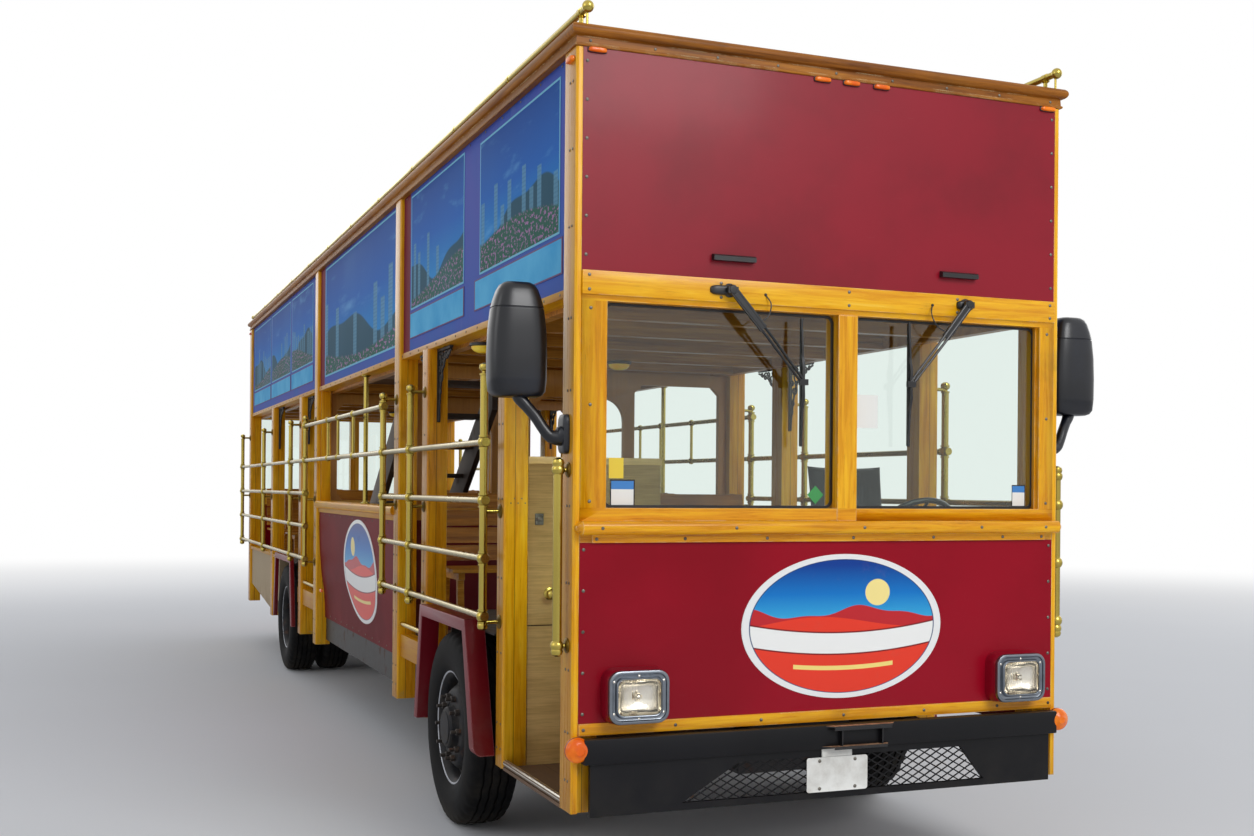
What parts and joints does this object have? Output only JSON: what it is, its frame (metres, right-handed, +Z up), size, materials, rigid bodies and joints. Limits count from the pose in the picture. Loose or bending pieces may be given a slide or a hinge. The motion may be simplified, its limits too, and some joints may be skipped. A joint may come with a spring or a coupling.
{
  "type": "open-top double-decker sightseeing bus",
  "caption": "Open-top two-deck sightseeing bus with a timber frame, maroon panels, brass side rails, open lower bays and a steered front axle.",
  "frame": {"origin": "on the road under the middle of the bus, at the centre of the bounding box's base", "axes": "+Y backwards along the bus, the front faces -Y; +Z up; +X towards the street side, the bus's own left"},
  "size_m": [3.08, 11.68, 3.781],
  "materials": {
    "black_paint": "satin",
    "black_plastic": "satin",
    "blue_panel": "gloss",
    "brass_tube": "polished",
    "chassis_black": "dusty",
    "clear_glass": "clear",
    "deck_ply": "worn",
    "engine_iron": "oily",
    "frame_wood": "varnished",
    "iron": "painted black",
    "maroon_paint": "gloss",
    "orange_plastic": "lens",
    "plate_white": "blank",
    "plywood": "varnished",
    "post_wood": "varnished",
    "red_plastic": "gloss",
    "seat_fabric": "woven",
    "seat_wood": "slats",
    "shaft_steel": "worn",
    "stair_dark": "worn",
    "trim_wood": "weathered varnish",
    "tyre_rubber": "dusty",
    "wheel_steel": "dusty"
  },
  "bodies": {
    "coach": {"bulkheads": "plywood", "bumpers": "black_paint", "chassis_frame": "chassis_black", "dashboard": "black_plastic", "deck_beams": "frame_wood", "deck_handrails": "brass_tube", "driver_seat": "seat_fabric", "end_woodwork": "frame_wood", "engine_block": "engine_iron", "fenders": "maroon_paint", "front_axle": "engine_iron", "front_valance": "black_paint", "glazing": "clear_glass", "headlamps": "red_plastic", "lamps": "orange_plastic", "leaf_springs": "shaft_steel", "lower_benches": "seat_wood", "lower_deck_floor": "deck_ply", "lower_end_panels": "maroon_paint", "lower_side_panels": "maroon_paint", "mirrors": "black_plastic", "number_plate": "plate_white", "posts": "post_wood", "rear_axle": "engine_iron", "scroll_brackets": "iron", "side_rails": "brass_tube", "side_woodwork": "frame_wood", "staircase": "stair_dark", "top_moulding": "trim_wood", "upper_deck_floor": "deck_ply", "upper_end_panels": "maroon_paint", "upper_seats": "seat_wood", "upper_side_panels": "blue_panel", "wheel_housings": "black_paint", "wipers_and_vents": "black_plastic"},
    "steer_knuckle_left": {"knuckle_left": "engine_iron"},
    "front_wheel_left": {"front_tyre_left": "tyre_rubber", "front_rim_left": "wheel_steel"},
    "rear_wheels_left": {"rear_tyres_left": "tyre_rubber", "rear_rim_left": "wheel_steel"},
    "steer_knuckle_right": {"knuckle_right": "engine_iron"},
    "front_wheel_right": {"front_tyre_right": "tyre_rubber", "front_rim_right": "wheel_steel"},
    "rear_wheels_right": {"rear_tyres_right": "tyre_rubber", "rear_rim_right": "wheel_steel"}
  },
  "joints": [
    {"name": "steer_left", "type": "hinge", "parent": "coach", "child": "steer_knuckle_left", "pos_m": [0.98, -3.97, 0.505], "axis": [0, 0, 1], "range_deg": [-30, 30]},
    {"name": "front_roll_left", "type": "hinge", "parent": "steer_knuckle_left", "child": "front_wheel_left", "pos_m": [1.155, -3.97, 0.505], "axis": [1, 0, 0], "continuous": true},
    {"name": "rear_roll_left", "type": "hinge", "parent": "coach", "child": "rear_wheels_left", "pos_m": [0.945, 2.6, 0.505], "axis": [1, 0, 0], "continuous": true},
    {"name": "steer_right", "type": "hinge", "parent": "coach", "child": "steer_knuckle_right", "pos_m": [-0.98, -3.97, 0.505], "axis": [0, 0, 1], "range_deg": [-30, 30]},
    {"name": "front_roll_right", "type": "hinge", "parent": "steer_knuckle_right", "child": "front_wheel_right", "pos_m": [-1.155, -3.97, 0.505], "axis": [1, 0, 0], "continuous": true},
    {"name": "rear_roll_right", "type": "hinge", "parent": "coach", "child": "rear_wheels_right", "pos_m": [-0.945, 2.6, 0.505], "axis": [1, 0, 0], "continuous": true}
  ],
  "couplings": [
    {"joint": "steer_right", "follows": "steer_left", "ratio": 1}
  ]
}
